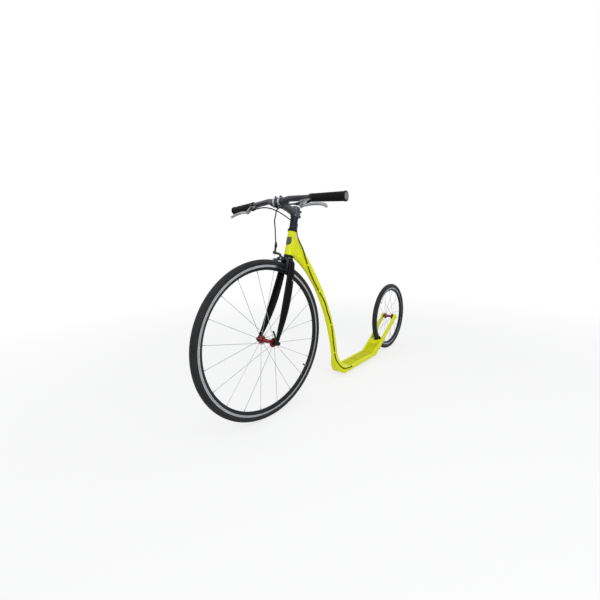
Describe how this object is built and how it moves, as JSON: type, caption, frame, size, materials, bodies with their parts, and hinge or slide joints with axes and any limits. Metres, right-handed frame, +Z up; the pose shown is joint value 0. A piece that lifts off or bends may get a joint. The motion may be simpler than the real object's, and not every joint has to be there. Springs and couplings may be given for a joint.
{
  "type": "kick scooter",
  "caption": "Adult footbike kick scooter: large spoked front wheel, small rear wheel, curved main tube, low deck, flat bar and cable side-pull brakes.",
  "frame": {"origin": "on the ground under the middle of the part's box: halfway between the ends of the tyres, on the middle plane", "axes": "+X forward, +Y to the rider's left, +Z up"},
  "size_m": [1.7379, 0.6384, 0.9253],
  "materials": {
    "frame_paint": "gloss fluorescent yellow paint",
    "fork_paint": "gloss black paint",
    "bar_black": "satin black anodised finish",
    "brake_black": "satin black",
    "rim_black": "black with a machined silver braking band",
    "alloy_silver": "satin silver",
    "hub_red": "red anodised",
    "steel": "plain bright steel",
    "bolt_black": "black steel",
    "tyre_rubber": "matt tyre rubber",
    "soft_rubber": "matt rubber",
    "grip_rubber": "finely textured grip rubber",
    "housing": "smooth black cable housing",
    "plug_grey": "dark grey plastic",
    "trim_black": "matt black"
  },
  "bodies": {
    "frame": {"head_tube": "frame_paint", "main_tube": "frame_paint", "deck": "frame_paint", "kick_plate": "frame_paint", "rear_leg_left": "frame_paint", "rear_leg_right": "frame_paint", "headset_cups": "bolt_black", "headset_bearings": "steel", "cable_clips": "frame_paint", "cable_grommets": "trim_black", "rear_cable_frame": "housing", "rear_axle": "steel", "rear_axle_bolts": "steel", "rear_brake_bolt": "steel"},
    "fork": {"fork_crown": "fork_paint", "fork_leg_left": "fork_paint", "fork_leg_right": "fork_paint", "crown_race": "steel", "headset_spacers": "bar_black", "stem": "bar_black", "stem_faceplates": "alloy_silver", "stem_bolts": "bolt_black", "top_cap": "bolt_black", "handlebar": "bar_black", "grip_left": "grip_rubber", "grip_right": "grip_rubber", "bar_end_plugs": "plug_grey", "lever_clamp_left": "bar_black", "lever_clamp_right": "bar_black", "lever_pins": "steel", "barrel_adjusters": "bar_black", "front_cable": "housing", "rear_cable_bar": "housing", "front_brake_bolt": "steel", "eyelet_screws": "steel", "front_axle": "bolt_black", "front_skewer": "bolt_black"},
    "quick_release": {"quick_release_lever": "bolt_black"},
    "lever_left": {"brake_lever_left": "alloy_silver"},
    "lever_right": {"brake_lever_right": "alloy_silver"},
    "front_brake_left": {"front_brake_arm_left": "brake_black", "front_pad_left": "soft_rubber"},
    "front_brake_right": {"front_brake_arm_right": "brake_black", "front_pad_right": "soft_rubber"},
    "rear_brake_left": {"rear_brake_arm_left": "brake_black", "rear_pad_left": "soft_rubber"},
    "rear_brake_right": {"rear_brake_arm_right": "brake_black", "rear_pad_right": "soft_rubber"},
    "front_wheel": {"front_tyre": "tyre_rubber", "front_rim": "rim_black", "front_spokes": "steel", "front_hub": "hub_red", "front_inner_tube": "soft_rubber", "front_bearings": "steel"},
    "rear_wheel": {"rear_tyre": "tyre_rubber", "rear_rim": "rim_black", "rear_spokes": "steel", "rear_hub": "hub_red", "rear_inner_tube": "soft_rubber", "rear_bearings": "steel"}
  },
  "joints": [
    {"name": "steering", "type": "hinge", "parent": "frame", "child": "fork", "pos_m": [0.37278, 0, 0.72989], "axis": [-0.2689, 0, 0.9632], "range_deg": [-70, 70]},
    {"name": "front_wheel_spin", "type": "hinge", "parent": "fork", "child": "front_wheel", "pos_m": [0.531, 0, 0.338], "axis": [0, 1, 0], "continuous": true},
    {"name": "rear_wheel_spin", "type": "hinge", "parent": "frame", "child": "rear_wheel", "pos_m": [-0.634, 0, 0.235], "axis": [0, 1, 0], "continuous": true},
    {"name": "quick_release_turn", "type": "hinge", "parent": "fork", "child": "quick_release", "pos_m": [0.531, 0.0645, 0.338], "axis": [-0.9903, 0, 0.1392], "range_deg": [0, 170]},
    {"name": "lever_left_pull", "type": "hinge", "parent": "fork", "child": "lever_left", "pos_m": [0.46742, 0.15287, 0.86916], "axis": [0.5971, 0.0878, 0.7973], "range_deg": [0, 12], "stiffness_Nm_per_rad": 0.5, "springref_deg": -17.19},
    {"name": "lever_right_pull", "type": "hinge", "parent": "fork", "child": "lever_right", "pos_m": [0.46742, -0.15287, 0.86916], "axis": [-0.5971, 0.0878, -0.7973], "range_deg": [0, 12], "stiffness_Nm_per_rad": 0.5, "springref_deg": -17.19},
    {"name": "front_arm_left_turn", "type": "hinge", "parent": "fork", "child": "front_brake_left", "pos_m": [0.41172, 0, 0.67224], "axis": [0.9632, 0, 0.2689], "range_deg": [-1.6, 0]},
    {"name": "front_arm_right_turn", "type": "hinge", "parent": "fork", "child": "front_brake_right", "pos_m": [0.41172, 0, 0.67224], "axis": [0.9632, 0, 0.2689], "range_deg": [0, 1.6]},
    {"name": "rear_arm_left_turn", "type": "hinge", "parent": "frame", "child": "rear_brake_left", "pos_m": [-0.43373, 0, 0.08164], "axis": [-0.6428, 0, -0.766], "range_deg": [-1.4, 0]},
    {"name": "rear_arm_right_turn", "type": "hinge", "parent": "frame", "child": "rear_brake_right", "pos_m": [-0.43373, 0, 0.08164], "axis": [-0.6428, 0, -0.766], "range_deg": [0, 1.4]}
  ],
  "couplings": [
    {"joint": "front_arm_left_turn", "follows": "lever_left_pull", "ratio": -0.1333},
    {"joint": "front_arm_right_turn", "follows": "lever_left_pull", "ratio": 0.1333},
    {"joint": "rear_arm_left_turn", "follows": "lever_right_pull", "ratio": -0.1166},
    {"joint": "rear_arm_right_turn", "follows": "lever_right_pull", "ratio": 0.1166}
  ]
}
